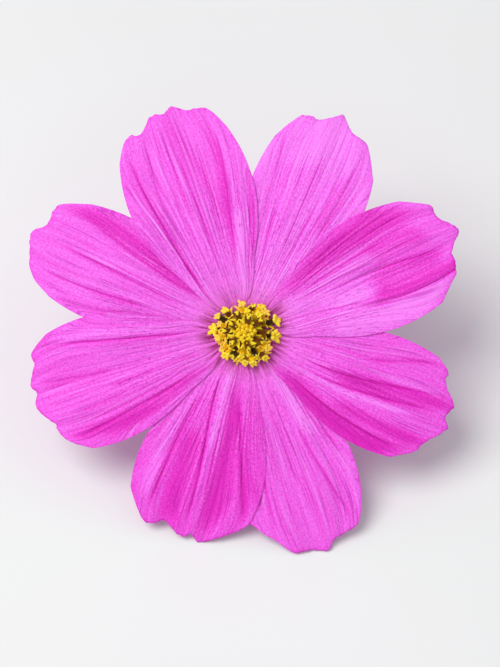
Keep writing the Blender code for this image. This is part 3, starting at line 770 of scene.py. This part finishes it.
def petal(number, ray, material):
    """One petal in the head's frame, with the values that its material reads."""
    rng = np.random.default_rng(number)
    across, share = np.meshgrid(np.linspace(-1.0, 1.0, PETAL_COLUMNS + 1), steps(PETAL_ROWS + 1))
    off_middle = np.abs(across)
    teeth = sum(reach * soft_noise(rng, cells, 1, across / 2 + 0.5, 0 * share) for reach, cells in TEETH)
    tip = through(tip_curve(ray), across) + teeth * (1 - smooth(0.9, 1.0, off_middle))
    along = CLAW_REACH + share * (tip - CLAW_REACH)
    height = blade_height(ray, across, along)

    # The veins run along the petal and fan out towards the tip.
    fan = 1 + 0.42 * smooth(0.45, 1.0, share) + 0.25 * (1 - smooth(0.08, 0.4, share))
    vein = across / fan
    ribs = soft_noise(rng, 56, 4, vein / 2 + 0.5, share)
    fine_ribs = soft_noise(rng, 90, 7, vein / 2 + 0.5, share)
    depth, tone, line = fold_sum(ray, across, share)
    dark, pale = vein_lines(rng, vein, share)
    relief = depth + RIB_DEPTH * ribs + FINE_RIB_DEPTH * fine_ribs
    relief = relief + DARK_VEIN_DEPTH * dark - PALE_VEIN_RISE * pale
    height -= smooth(0.0, 0.12, share) * (1 - smooth(0.9, 1.0, off_middle)) * relief
    ruffle = RUFFLE_HEIGHT * soft_noise(rng, 14, 3, across / 2 + 0.5, share)
    height += ruffle * smooth(0.7, 1.0, share) * (1 - smooth(0.7, 0.9, off_middle) * (1 - share))
    # The veins add their own dark colour to the lines. The ribs deepen the colour where they sink, a
    # painted shade in their grooves, and each petal's tone is partly painted shade of its pleats.
    line += 0.75 * dark
    tone += 0.07 * ribs + 0.05 * fine_ribs + ray["tone"] + BASE_TONE
    tone += EDGE_TONES[0] * smooth(0.975, 1.0, share) + EDGE_TONES[1] * smooth(0.96, 1.0, off_middle)

    sheet = np.stack([across * spread_width(ray, across, along), along, height], axis=2)
    edge = np.minimum(1 - off_middle, (1 - share) * 2)
    thickness = EDGE_THICKNESS + (PETAL_THICKNESS - EDGE_THICKNESS) * smooth(0.0, 0.12, edge)
    points, faces = closed_sheet(sheet, thickness)
    made = add_mesh(f"petal_{number}", turn_round_axis(points, ray["azimuth"] - 90), faces, material)
    give_both_sides(
        made.data,
        tone=tone,
        line=line,
        pale=pale,
        # how strong the painted shade under the disc is on this petal's claw
        claw=ray["claw"] * (1 - smooth(0.07, 0.16, share)),
        base=1 - smooth(0.04, 0.34, share),
        veins=np.stack([vein, share, 0 * vein + number], axis=2),
        sheet=np.stack([sheet[..., 0], along, 0 * vein + 10 * number], axis=2),
    )
    return made


# ---- The head's place ----


def place_head(petals):
    """The head's matrix: tilted as in the CAD model, with the petals centred on the CAD petals' box."""
    tilt = Matrix.Rotation(HEAD_TILT, 4, "X")
    points = np.concatenate([points_of(made.data) for made in petals]) @ np.array(tilt.to_3x3()).T
    boxes = np.array([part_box(f"ray_floret_{number}") for number in range(1, len(petals) + 1)])
    middle = (boxes[:, 0].min(0) + boxes[:, 1].max(0)) / 2
    return Matrix.Translation(Vector(middle - (points.min(0) + points.max(0)) / 2)) @ tilt


skin = petal_material()
petals = [petal(number, ray, skin) for number, ray in enumerate(RAYS, 1)]
head = place_head(petals)
for number, made in enumerate(petals, 1):
    made.data.transform(head)
    take_place(made, f"ray_floret_{number}")


# ---- The disc ----

# Yellows by height: the orange low down is painted shade between the florets, and the pale gold at the top
# is partly a painted highlight.
DISC_YELLOWS = (
    (0.0, (0.82, 0.32, 0.0)), (0.3, (1.0, 0.5, 0.0)), (0.6, (1.0, 0.7, 0.0)), (1.0, (1.0, 0.84, 0.05)),
)
# Painted reflection of the pink petals on the outer tips of the disc
PINK_REFLECTION_TINT = (1.0, 0.5, 0.18)
ANTHER_BROWNS = ((0.3, (0.15, 0.02, 0.003)), (0.7, (0.07, 0.008, 0.001)))
DARKEST_BROWN = (0.016, 0.005, 0.002)


def disc_material():
    """Golden corollas and pollen, and dark brown anther tubes, with painted shade low down, painted
    highlight up top and a painted pink reflection on the outer tips.
    """
    n = Nodes("disc_skin")
    dark = n.number("dark")
    place = n.add("ShaderNodeTexCoord").outputs["Object"]
    grain = n.noise(place, 7.0 / MM)
    cloud = n.noise(place, 1.5 / MM)
    level = n.plus(n.swing(cloud, 0.7), n.swing(grain, 0.5))
    # The rise of each point picks the yellow: painted shade low down, painted highlight up top.
    yellow = n.ramp(n.plus(level, n.number("rise")), DISC_YELLOWS)
    # Painted reflection of the pink petals, in patches
    reflected = n.times(n.number("peach"), n.range(cloud, 0.35, 0.6, 0.3, 1.0))
    yellow = n.mix(reflected, yellow, PINK_REFLECTION_TINT)
    brown = n.mix(n.range(dark, 0.7, 1.0), n.ramp(grain, ANTHER_BROWNS), DARKEST_BROWN)
    shown = n.range(dark, 0.1, 0.4)
    colour = n.mix(shown, yellow, brown)
    return n.finish(colour, n.range(shown, 0.0, 1.0, 0.62, 0.42), n.bump(grain, 0.04, 0.6), {
        "Specular IOR Level": 0.2,
        "Sheen Weight": 0.4,
        "Sheen Roughness": 0.5,
        "Sheen Tint": (1.0, 0.7, 0.15, 1.0),
        "Subsurface Weight": 0.1,
        "Subsurface Radius": (1.0, 0.55, 0.05),
        "Subsurface Scale": 0.3 * MM,
    })


def axis_of(node):
    """Where a CAD disc floret starts in the head's frame, its direction and its length."""
    back = np.array(head.inverted())
    points = (points_of(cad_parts[node].data) @ back[:3, :3].T + back[:3, 3]) / MM
    middle = points.mean(0)
    course = np.linalg.svd(points - middle)[2][0]
    course *= np.sign(course[2])
    reach = (points - middle) @ course
    return middle + course * reach.min(), course, reach.max() - reach.min()


def bumpy(rng, rings, amount):
    """Rings with each point moved a little way in or out."""
    middle = rings.mean(1, keepdims=True)
    return middle + (rings - middle) * rng.uniform(1 - amount, 1 + amount, (*rings.shape[:2], 1))


def add_corolla(clay, rng, place, top, lobe_size, peach):
    """The corolla tube up to a height, and its five pointed lobes, which bend outwards."""
    height = np.linspace(0.0, top, 8)
    radius = 0.22 + 0.2 * smooth(0.3, 1.0, height / top)
    # The tube is painted darker towards its foot, a painted shade.
    clay.loft(place(turned(height, radius, 20, LOBES, 0.12)), rise=0.1 + 0.4 * height / top)
    t = steps(9)
    wide = 0.35 * lobe_size[0] * (1.02 - t) ** 0.55 * (0.8 + 0.5 * np.sin(math.pi * t))
    for k in range(LOBES):
        angle = math.pi + math.radians(36 + 72 * k) + rng.uniform(-0.15, 0.15)
        size = (lobe_size[0] + lobe_size[1] * math.cos(angle)) * rng.uniform(1.1, 1.5)
        out = outward(angle)
        spread = 0.34 + size * (0.12 * t + 0.62 * t * t)
        rise = top - 0.12 + size * (0.9 * t - 0.35 * t * t)
        path = spread[:, None] * out + rise[:, None] * (0, 0, 1)
        lobe = horn(path, wide, 0.09 + 0 * t, out - (0.0, 0.0, 0.8), 10)
        # The lobes are painted paler towards their tips, a painted highlight, where they also take the
        # painted pink reflection.
        clay.loft(place(lobe), rise=0.45 + 0.45 * t, peach=peach * t)


def add_anthers(clay, rng, place, height, girth, dark, lump, peach):
    """A ridged anther tube with a crown of five teeth, and its pollen and style in fingered lumps."""
    t = steps(8)
    wall = turned(height * t - 0.1, girth * (0.8 + 0.2 * smooth(0.0, 0.4, t)), TUBE_SIDES, LOBES, 0.14)
    tooth = 1 - np.abs(2 * (LOBES * (turns(TUBE_SIDES) - math.pi) / (2 * math.pi) % 1) - 1)
    crown = girth * np.array([1.0, 0.95, 0.78, 0.7, 0.62])
    crown = turned((height,) * len(crown), crown, TUBE_SIDES, LOBES, 0.1)
    crown[..., 2] += np.array([0.0, 0.5, 0.5, 0.0, -0.3])[:, None] * (0.15 + 0.85 * tooth)
    clay.loft(place(np.concatenate([wall, crown[1:]])), dark=dark, rise=0.45)
    levels = steps(6)
    mass = turned(height - 0.35 + 0.6 * levels, 0.72 * girth * np.sqrt(1.02 - levels**2), 14)
    mass[..., 0] += 0.25 * levels[:, None]
    # The pollen mass is painted high on the yellows, a painted highlight, with a little painted pink
    # reflection.
    clay.loft(place(bumpy(rng, mass, 0.1)), rise=0.75, peach=0.3 * peach)

    # The fingers of a large lump stand all round, and those of a small one lean out.
    fingers, swing = (7, math.pi) if lump > 0.8 else (4, 1.0)
    for k in range(fingers):
        angle = swing * (2 * (k + rng.uniform(0.2, 0.8)) / fingers - 1)
        out = outward(angle)
        length = lump * rng.uniform(0.65, 1.0)
        bend = rng.uniform(0.5, 1.1)
        path = out * girth * 0.3 + (0.0, 0.0, height - 0.1) + length * t[:, None] * (0.25, 0, 0.8)
        path = path + length * bend * (t * t)[:, None] * (0.75 * out + (0.1, 0, -0.3))
        thick = 0.11 + 0.13 * lump * smooth(0.0, 0.7, t)
        thick = thick * np.sqrt(1.02 - 11 * np.maximum(t - 0.7, 0) ** 2)
        rings = horn(path, thick, thick, np.array([-out[1], out[0], 0.1]), 10)
        # The fingers are painted paler towards their tips, a painted highlight, where they also take the
        # painted pink reflection.
        clay.loft(place(bumpy(rng, rings, 0.14)), rise=0.5 + 0.45 * t, peach=peach * t)


def floret(number, facts, material):
    """One disc floret, which stands where its CAD node does."""
    tube_from, tube_to, dark, lump, peach = facts
    start, course, length = axis_of(f"disc_floret_{number:02d}")
    if number <= RIM_COUNT:
        length *= RIM_STRETCH
        lump *= RIM_LUMP
    rng = np.random.default_rng(100 + number)
    side = unit([-course[1], course[0], 0.0])
    low = np.cross(side, course)

    def along(points):
        return start + points @ np.array([low, side, course])

    # The anthers of the upright inner florets lean out more than their corollas do.
    bend = 0.75 * max(0.0, math.radians(40) - math.acos(course[2]))
    anther_course = course * math.cos(bend) + low * math.sin(bend)
    anther_low = np.cross(side, anther_course)
    anther_start = start + course * tube_from * length

    def anther_along(points):
        return anther_start + points @ np.array([anther_low, side, anther_course])

    clay = Clay("dark", "rise", "peach")
    lobe_size = LOBE_SIZES[int(dark > 0.5)]
    add_corolla(clay, rng, along, tube_from * length, lobe_size, peach)
    height = (tube_to - tube_from) * length
    add_anthers(clay, rng, anther_along, height, rng.uniform(0.46, 0.56), dark, lump, peach)
    return clay.make(f"floret_{number:02d}", material)


def buds(material):
    """The unopened buds in the middle of the disc, in a spiral."""
    clay = Clay("rise")
    rng = np.random.default_rng(7)
    t = steps(12)
    for k in range(BUD_COUNT):
        angle = k * GOLDEN_ANGLE
        reach = BUD_SPACING * math.sqrt(k)
        top = BUD_HEIGHT - 0.14 * reach**2 * rng.uniform(0.8, 1.2)
        size = rng.uniform(0.44, 0.5)
        radius = size * np.sqrt(1.001 - smooth(0.45, 1.0, t) ** 2) * (0.6 + 0.4 * smooth(0.0, 0.5, t))
        rings = turned(top * t, radius, 20, LOBES, 0.22)
        lean = 0.16 * reach * t[:, None, None] ** 2
        rings += lean * outward(angle) + reach * outward(angle)
        # The buds are painted darker low down between them, a painted shade.
        clay.loft(rings, rise=0.45 + 0.35 * t)
    return clay.make("buds", material)


golden = disc_material()
disc = {}
for number, facts in enumerate(FLORETS, 1):
    disc[f"disc_floret_{number:02d}"] = floret(number, facts, golden)
disc["disc_buds"] = buds(golden)
for node, made in disc.items():
    made.data.transform(head)
    take_place(made, node)


# ---- Bracts, receptacle and stem ----

# The colours of the bracts: body, tip, margin and veins
INNER_COLOURS = ((0.38, 0.42, 0.12), (0.3, 0.13, 0.09), (0.58, 0.5, 0.26), (0.2, 0.14, 0.05))
OUTER_COLOURS = ((0.13, 0.28, 0.05), (0.22, 0.2, 0.06), (0.2, 0.36, 0.1), (0.24, 0.42, 0.14))
STREAK = (0.6, 0.6, 0.5)  # multiplies the colour that it lies on

STEM_GREENS = ((0.25, (0.1, 0.2, 0.03)), (0.55, (0.19, 0.34, 0.06)), (0.8, (0.3, 0.46, 0.11)))
STEM_RED = (0.26, 0.06, 0.05)
STEM_SPECK = (0.4, 0.5, 0.22)
CUT_COLOURS = ((0.3, (0.5, 0.6, 0.3)), (0.7, (0.72, 0.76, 0.52)))
DOME_COLOURS = ((0.3, (0.6, 0.3, 0.01)), (0.7, (0.95, 0.62, 0.02)))


def bract_material(name, body, tip, margin, vein_colour, veins_across):
    """A leafy or papery bract: long veins, a tinged tip and margin, and blotches."""
    n = Nodes(name)
    place = n.vector("veins")
    blotches = n.noise(place, (2.2, 5.0, 1.0), detail=3.0)
    streaks = n.noise(place, (16.0, 2.0, 1.0))
    veins = n.edges(place, (veins_across, 0.35, 1.0), 0.1)
    tipward = n.plus(n.number("toward_tip"), n.swing(blotches, 0.7))
    colour = n.mix(n.range(tipward, 0.45, 1.0), body, tip)
    edge = n.times(n.range(n.number("edge"), 0.55, 1.0), n.range(blotches, 0.3, 0.6, 0.4, 1.0))
    colour = n.mix(edge, colour, margin)
    colour = n.mix(n.times(veins, 0.6), colour, vein_colour)
    colour = n.mix(n.range(streaks, 0.35, 0.7, 0.0, 0.4), colour, STREAK, "MULTIPLY")
    rough = n.bump(streaks, 0.05, 0.5, n.bump(veins, 0.06, 0.6))
    return n.finish(colour, n.range(blotches, 0.3, 0.7, 0.45, 0.65), rough, {
        "Specular IOR Level": 0.35,
        "Subsurface Weight": 0.1,
        "Subsurface Scale": 0.4 * MM,
    })


def bract(kind, number, line, turn, ripple, material):
    """One bract of a whorl, as a thin veined blade along the CAD bract's middle line."""
    rng = np.random.default_rng(number + len(line) * 10)
    across, t = np.meshgrid(np.linspace(-1.0, 1.0, BRACT_COLUMNS + 1), steps(BRACT_ROWS + 1))
    distance, height, half = columns_at(line, t)
    half = np.maximum(half, 0.02)
    sway = rng.uniform(-0.25, 0.25) * t**2
    wave = ripple * np.abs(across) ** 3 * np.sin(rng.uniform(0, 6) + 16 * t + 1.5 * np.sign(across))
    height = height + BRACT_CUP * half * across**2 + wave + 0.35 * rng.uniform(-1, 1) * t**3
    height = height - 0.05 * np.exp(-((across / 0.12) ** 2)) * (1 - t)
    sheet = np.stack([across * half + sway, distance, height], axis=2)
    thickness = 0.06 + 0.16 * (1 - np.abs(across)) ** 0.6 * (1 - 0.7 * t)
    points, faces = closed_sheet(sheet, thickness)
    made = add_mesh(f"{kind}_bract_blade_{number}", turn_round_axis(points, turn), faces, material)
    veins = np.stack([across * half, distance, 0 * across + 7 * number], axis=2)
    give_both_sides(made.data, veins=veins, toward_tip=t, edge=np.abs(across))
    return made


def add_bracts(kind, line, turn, ripple, material):
    """A whorl of bracts, the first of them turned by some degrees."""
    for number in range(1, BRACT_COUNT + 1):
        made = bract(kind, number, line, turn + 360 * (number - 1) / BRACT_COUNT, ripple, material)
        made.data.transform(head)
        take_place(made, f"{kind}_bract_{number}")


def stem_material():
    """Green stem with a reddish tinge, its pale cut end, and the golden top that the disc florets hide."""
    n = Nodes("stem_skin")
    place = n.vector("along")
    fibres = n.noise(place, (1.6, 0.06, 1.6), detail=3.0)
    blotches = n.noise(place, (0.25, 0.09, 0.25), detail=3.0)
    specks = n.noise(place, (3.0, 1.2, 3.0))
    tinge = n.times(n.range(blotches, 0.4, 0.7), n.number("red"))
    colour = n.mix(tinge, n.ramp(fibres, STEM_GREENS), STEM_RED)
    colour = n.mix(n.range(specks, 0.62, 0.75, 0.0, 0.4), colour, STEM_SPECK)
    colour = n.mix(n.number("cut"), colour, n.ramp(specks, CUT_COLOURS))
    colour = n.mix(n.number("gold"), colour, n.ramp(specks, DOME_COLOURS))
    rough = n.bump(specks, 0.03, 0.5, n.bump(fibres, 0.12, 0.6))
    return n.finish(colour, n.range(fibres, 0.3, 0.7, 0.4, 0.58), rough, {"Specular IOR Level": 0.4})


def bezier(a, b, c, d, t):
    t = np.asarray(t)[:, None]
    return a * (1 - t) ** 3 + b * 3 * t * (1 - t) ** 2 + c * 3 * t * t * (1 - t) + d * t**3


def stem_line(down, tail_course):
    """The points of the stem's middle line, from the domed top to the cut end, and its radius at each."""
    place = np.array(head.translation) / MM
    radius, height = columns_at(RECEPTACLE, steps(RECEPTACLE_ROWS))
    dome = np.linspace(0.03, 0.97, DOME_ROWS)
    radius = np.concatenate([RECEPTACLE[0][0] * dome, radius])
    height = np.concatenate([RECEPTACLE[0][1] + DOME_HEIGHT * (1 - dome**2), height])
    top = place - height[:, None] * down

    neck = place + NECK * down
    landing = np.array([*LANDING, STEM_RADIUS])
    landing_course = unit(LANDING_COURSE)
    end = np.array([*TAIL_END, STEM_RADIUS])
    t = steps(90)
    pulled = (neck + down * BEND_START_PULL, landing - landing_course * BEND_END_PULL)
    bend = bezier(neck, *pulled, landing, t)
    bend_radius = NECK_RADIUS + (STEM_RADIUS - NECK_RADIUS) * t
    pulled = (landing + landing_course * TAIL_PULL, end - tail_course * TAIL_PULL)
    tail = bezier(landing, *pulled, end, steps(60)[1:])
    tail_radius = np.full(len(tail), STEM_RADIUS)

    face, sunk = np.array(CUT_FACE).T
    path = np.concatenate([top, bend, tail, end + sunk[:, None] * tail_course])
    return path, np.concatenate([radius, bend_radius, tail_radius, STEM_RADIUS * face])


def stem(material):
    """The receptacle and the stem as one ribbed body."""
    down = -np.array(head.to_3x3())[:, 2]
    tail_course = unit(TAIL_COURSE)
    path, radius = stem_line(down, tail_course)
    course = np.gradient(path, axis=0)
    course[: DOME_ROWS + RECEPTACLE_ROWS] = down
    course[-len(CUT_FACE) - 2:] = tail_course
    course = unit(course)
    side = unit(np.cross(course, (1.0, 0.0, 0.0)))
    other = np.cross(course, side)

    row = np.arange(len(path))
    cut_from = len(path) - len(CUT_FACE)
    run = np.concatenate([[0.0], np.cumsum(np.linalg.norm(np.diff(path, axis=0), axis=1))])
    ribbed = smooth(4.0, 9.0, run) * (1 - smooth(0.0, 0.5, row - (cut_from - 1)))
    turn = turns(STEM_SIDES)
    turned_share, run_share = np.meshgrid(turn / (2 * math.pi), run / run[-1])
    uneven = soft_noise(np.random.default_rng(3), 16, 60, turned_share, run_share)
    seam = 0.5 * (1 + np.cos(turn))  # keeps the uneven surface whole where it closes on itself
    rib = -RIB_GROOVE * np.abs(np.sin(RIBS / 2 * turn)) ** 0.6 + UNEVEN * uneven * (1 - seam)
    full = radius[:, None] * (1 + ribbed[:, None] * rib)
    across = full * np.cos(turn)
    rise = full * np.sin(turn)
    rings = path[:, None] + across[..., None] * side[:, None] + rise[..., None] * other[:, None]

    clay = Clay("red", "cut", "gold")
    red = 0.35 + 0.65 * np.abs(np.sin(run * 0.11))
    clay.loft(rings, red=red, cut=(row >= cut_from) * 1.0, gold=(row <= DOME_ROWS) * 1.0)
    made = clay.make("stem_skin", material)
    along = np.stack([across, run[:, None] + 0 * turn, rise], axis=2).reshape(-1, 3)
    give(made.data, "along", np.concatenate([along, along[:1], along[-1:]]))
    return made


add_bracts("inner", INNER_BRACT, 0.0, 0.1, bract_material("inner_bract_skin", *INNER_COLOURS, 5.0))
add_bracts("outer", OUTER_BRACT, 22.5, 0.05, bract_material("outer_bract_skin", *OUTER_COLOURS, 2.6))
take_place(stem(stem_material()), "stem")


# ---- Floor, light and camera ----

VIEW_DISTANCE = 350.0
VIEW_HEIGHT = 117.1  # how much of the head's plane the picture's height takes in
VIEW_CENTRE = (0.97, -0.18)  # in the head's plane, from its axis
SENSOR = 36.0
FLOOR_HALF = 1500.0
FLOOR_PAPER = ((0.3, (0.8, 0.8, 0.79)), (0.7, (0.83, 0.83, 0.82)))
KEY_PLACE = (-0.38, -0.08, 0.78)  # from the head, in metres
KEY_SIZE = 0.6
KEY_POWER = 5.1
SKY_COLOUR = (0.95, 0.97, 1.0, 1.0)
SKY_STRENGTH = 0.57


def add_floor():
    """A wide sheet of pale paper; its noise is in metres."""
    n = Nodes("floor_paper")
    place = n.add("ShaderNodeTexCoord").outputs["Object"]
    n.link(n.ramp(n.noise(place, 9.0), FLOOR_PAPER), n.shader.inputs["Base Color"])
    n.link(0.9, n.shader.inputs["Roughness"])
    corners = [(x * FLOOR_HALF, y * FLOOR_HALF, 0.0) for x, y in ((-1, -1), (1, -1), (1, 1), (-1, 1))]
    add_mesh("floor", corners, [(0, 1, 2, 3)], n.material)


def add_key(target):
    """One large round lamp, which shines at the head."""
    data = bpy.data.lights.new("key", "AREA")
    data.shape = "DISK"
    data.size = KEY_SIZE
    data.energy = KEY_POWER
    made = bpy.data.objects.new("key", data)
    made.location = target + Vector(KEY_PLACE)
    made.rotation_euler = (-Vector(KEY_PLACE)).to_track_quat("-Z", "Y").to_euler()
    bpy.context.scene.collection.objects.link(made)


def add_camera():
    data = bpy.data.cameras.new("camera")
    data.lens = SENSOR * VIEW_DISTANCE / VIEW_HEIGHT
    data.sensor_width = SENSOR
    data.clip_start = 0.01
    made = bpy.data.objects.new("camera", data)
    made.matrix_world = head @ Matrix.Translation(Vector((*VIEW_CENTRE, VIEW_DISTANCE)) * MM)
    bpy.context.scene.collection.objects.link(made)
    bpy.context.scene.camera = made


def add_world():
    world = bpy.data.worlds.new("studio")
    world.use_nodes = True
    shade = world.node_tree.nodes["Background"]
    shade.inputs["Color"].default_value = SKY_COLOUR
    shade.inputs["Strength"].default_value = SKY_STRENGTH
    bpy.context.scene.world = world


add_floor()
add_key(head.translation)
add_world()
add_camera()
bpy.context.scene.view_settings.view_transform = "Standard"
